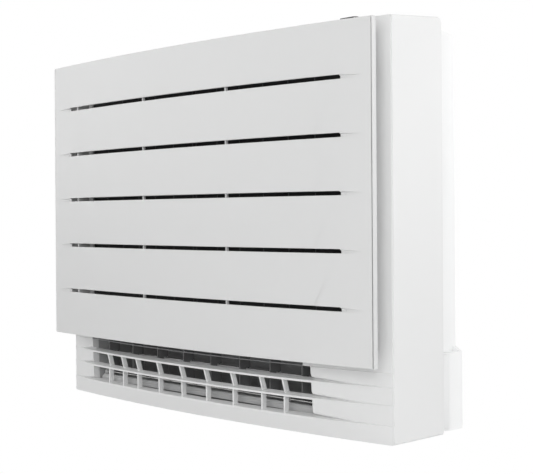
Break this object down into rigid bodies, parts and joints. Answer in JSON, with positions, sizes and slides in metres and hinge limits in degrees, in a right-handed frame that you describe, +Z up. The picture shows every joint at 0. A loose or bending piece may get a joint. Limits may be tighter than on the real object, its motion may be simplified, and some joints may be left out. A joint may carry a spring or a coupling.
{
  "type": "floor standing air conditioner",
  "caption": "Low floor standing air conditioner indoor unit with a bowed slotted front panel that tilts, a bladed lower outlet and a flap over the upper outlet.",
  "frame": {"origin": "centre of the unit's footprint, on the floor", "axes": "+Z up, +X to the right seen from the front, -Y towards the room"},
  "size_m": [0.75, 0.238, 0.6],
  "materials": {
    "panel_white": "satin moulded plastic",
    "casing_white": "satin moulded plastic",
    "grille_white": "satin moulded plastic",
    "rear_white": "matt moulded plastic",
    "duct_dark": "matt dark moulded plastic",
    "vane_dark": "satin dark moulded plastic",
    "damper_white": "satin moulded plastic",
    "steel": "zinc plated",
    "fan_plastic": "matt moulded plastic",
    "motor_case": "matt moulded plastic",
    "coil_aluminium": "mill finish",
    "sheet_steel": "galvanised sheet",
    "copper": "bright drawn tube",
    "brass": "machined",
    "pan_foam": "moulded plastic",
    "filter_black": "fine black net in a frame",
    "cartridge": "pleated media",
    "board_green": "lacquered board",
    "part_black": "moulded",
    "display_dark": "smoked window"
  },
  "bodies": {
    "casing": {"air_filter_left": "filter_black", "air_filter_right": "filter_black", "bell_mouth": "duct_dark", "board_parts": "part_black", "casing_screws": "steel", "coil_end_plates": "sheet_steel", "coil_fin_block": "coil_aluminium", "coil_return_bends": "copper", "coil_thermistor": "copper", "control_box": "sheet_steel", "control_box_cover": "sheet_steel", "deodorizing_filter_left": "cartridge", "deodorizing_filter_right": "cartridge", "display_board": "board_green", "display_window": "display_dark", "drain_pan": "pan_foam", "duct_housing": "duct_dark", "fan_motor": "motor_case", "flap_motor": "motor_case", "flap_rod": "steel", "flare_nuts": "brass", "front_casing": "casing_white", "gas_pipe": "copper", "hinge_ears": "casing_white", "liquid_pipe": "copper", "lower_flap_motor": "motor_case", "main_board": "board_green", "motor_bracket": "steel", "outlet_grille": "grille_white", "panel_catches": "casing_white", "rear_frame": "rear_white", "terminal_block": "part_black", "terminal_screws": "steel"},
    "front_panel": {"front_panel": "panel_white"},
    "top_flap": {"top_flap": "casing_white"},
    "fan": {"turbo_fan": "fan_plastic", "motor_shaft": "steel", "fan_nut": "steel"},
    "lower_flap": {"lower_flap": "damper_white"},
    "on_off_button": {"on_off_button": "casing_white"},
    "upper_tie_bar": {"upper_tie_bar": "duct_dark"},
    "upper_vane_1": {"upper_vane_1": "vane_dark"},
    "upper_vane_2": {"upper_vane_2": "vane_dark"},
    "upper_vane_3": {"upper_vane_3": "vane_dark"},
    "upper_vane_4": {"upper_vane_4": "vane_dark"},
    "upper_vane_5": {"upper_vane_5": "vane_dark"},
    "upper_vane_6": {"upper_vane_6": "vane_dark"},
    "lower_tie_bar": {"lower_tie_bar": "duct_dark"},
    "lower_vane_1": {"lower_vane_1": "vane_dark"},
    "lower_vane_2": {"lower_vane_2": "vane_dark"},
    "lower_vane_3": {"lower_vane_3": "vane_dark"},
    "lower_vane_4": {"lower_vane_4": "vane_dark"},
    "lower_vane_5": {"lower_vane_5": "vane_dark"},
    "lower_vane_6": {"lower_vane_6": "vane_dark"},
    "lower_vane_7": {"lower_vane_7": "vane_dark"},
    "lower_vane_8": {"lower_vane_8": "vane_dark"}
  },
  "joints": [
    {"name": "panel_tilt", "type": "hinge", "parent": "casing", "child": "front_panel", "pos_m": [0, -0.084, 0.122], "axis": [1, 0, 0], "range_deg": [0, 25]},
    {"name": "top_flap_hinge", "type": "hinge", "parent": "casing", "child": "top_flap", "pos_m": [0, 0.0461, 0.59434], "axis": [-1, 0, 0], "range_deg": [0, 65]},
    {"name": "fan_spin", "type": "hinge", "parent": "casing", "child": "fan", "pos_m": [-0.0355, 0, 0.3055], "axis": [0, 1, 0], "continuous": true},
    {"name": "lower_flap_hinge", "type": "hinge", "parent": "casing", "child": "lower_flap", "pos_m": [0, -0.037, 0.0385], "axis": [1, 0, 0], "range_deg": [0, 60]},
    {"name": "button_press", "type": "slide", "parent": "casing", "child": "on_off_button", "axis": [0, 0, -1], "range_m": [0, 0.001], "stiffness_N_per_m": 400, "springref_m": -0.0005},
    {"name": "upper_tie_slide", "type": "slide", "parent": "casing", "child": "upper_tie_bar", "axis": [-1, 0, 0], "range_m": [-0.0104, 0.0104]},
    {"name": "upper_vane_1_swing", "type": "hinge", "parent": "casing", "child": "upper_vane_1", "pos_m": [-0.26092, 0.0524, 0.54], "axis": [0, -1, 0], "range_deg": [-25, 25]},
    {"name": "upper_vane_2_swing", "type": "hinge", "parent": "casing", "child": "upper_vane_2", "pos_m": [-0.17075, 0.0524, 0.54], "axis": [0, -1, 0], "range_deg": [-25, 25]},
    {"name": "upper_vane_3_swing", "type": "hinge", "parent": "casing", "child": "upper_vane_3", "pos_m": [-0.08058, 0.0524, 0.54], "axis": [0, -1, 0], "range_deg": [-25, 25]},
    {"name": "upper_vane_4_swing", "type": "hinge", "parent": "casing", "child": "upper_vane_4", "pos_m": [0.00958, 0.0524, 0.54], "axis": [0, -1, 0], "range_deg": [-25, 25]},
    {"name": "upper_vane_5_swing", "type": "hinge", "parent": "casing", "child": "upper_vane_5", "pos_m": [0.09975, 0.0524, 0.54], "axis": [0, -1, 0], "range_deg": [-25, 25]},
    {"name": "upper_vane_6_swing", "type": "hinge", "parent": "casing", "child": "upper_vane_6", "pos_m": [0.18992, 0.0524, 0.54], "axis": [0, -1, 0], "range_deg": [-25, 25]},
    {"name": "lower_tie_slide", "type": "slide", "parent": "casing", "child": "lower_tie_bar", "axis": [-1, 0, 0], "range_m": [-0.0041, 0.0041]},
    {"name": "lower_vane_1_swing", "type": "hinge", "parent": "casing", "child": "lower_vane_1", "pos_m": [-0.27219, -0.045, 0.104], "axis": [0, 0, 1], "range_deg": [-25, 25]},
    {"name": "lower_vane_2_swing", "type": "hinge", "parent": "casing", "child": "lower_vane_2", "pos_m": [-0.20456, -0.045, 0.104], "axis": [0, 0, 1], "range_deg": [-25, 25]},
    {"name": "lower_vane_3_swing", "type": "hinge", "parent": "casing", "child": "lower_vane_3", "pos_m": [-0.13694, -0.045, 0.104], "axis": [0, 0, 1], "range_deg": [-25, 25]},
    {"name": "lower_vane_4_swing", "type": "hinge", "parent": "casing", "child": "lower_vane_4", "pos_m": [-0.06931, -0.045, 0.104], "axis": [0, 0, 1], "range_deg": [-25, 25]},
    {"name": "lower_vane_5_swing", "type": "hinge", "parent": "casing", "child": "lower_vane_5", "pos_m": [-0.00169, -0.045, 0.104], "axis": [0, 0, 1], "range_deg": [-25, 25]},
    {"name": "lower_vane_6_swing", "type": "hinge", "parent": "casing", "child": "lower_vane_6", "pos_m": [0.06594, -0.045, 0.104], "axis": [0, 0, 1], "range_deg": [-25, 25]},
    {"name": "lower_vane_7_swing", "type": "hinge", "parent": "casing", "child": "lower_vane_7", "pos_m": [0.13356, -0.045, 0.104], "axis": [0, 0, 1], "range_deg": [-25, 25]},
    {"name": "lower_vane_8_swing", "type": "hinge", "parent": "casing", "child": "lower_vane_8", "pos_m": [0.20119, -0.045, 0.104], "axis": [0, 0, 1], "range_deg": [-25, 25]}
  ],
  "couplings": [
    {"joint": "upper_vane_1_swing", "follows": "upper_tie_slide", "rad_per_m": 41.667},
    {"joint": "upper_vane_2_swing", "follows": "upper_tie_slide", "rad_per_m": 41.667},
    {"joint": "upper_vane_3_swing", "follows": "upper_tie_slide", "rad_per_m": 41.667},
    {"joint": "upper_vane_4_swing", "follows": "upper_tie_slide", "rad_per_m": 41.667},
    {"joint": "upper_vane_5_swing", "follows": "upper_tie_slide", "rad_per_m": 41.667},
    {"joint": "upper_vane_6_swing", "follows": "upper_tie_slide", "rad_per_m": 41.667},
    {"joint": "lower_vane_1_swing", "follows": "lower_tie_slide", "rad_per_m": 105.26},
    {"joint": "lower_vane_2_swing", "follows": "lower_tie_slide", "rad_per_m": 105.26},
    {"joint": "lower_vane_3_swing", "follows": "lower_tie_slide", "rad_per_m": 105.26},
    {"joint": "lower_vane_4_swing", "follows": "lower_tie_slide", "rad_per_m": 105.26},
    {"joint": "lower_vane_5_swing", "follows": "lower_tie_slide", "rad_per_m": 105.26},
    {"joint": "lower_vane_6_swing", "follows": "lower_tie_slide", "rad_per_m": 105.26},
    {"joint": "lower_vane_7_swing", "follows": "lower_tie_slide", "rad_per_m": 105.26},
    {"joint": "lower_vane_8_swing", "follows": "lower_tie_slide", "rad_per_m": 105.26}
  ]
}
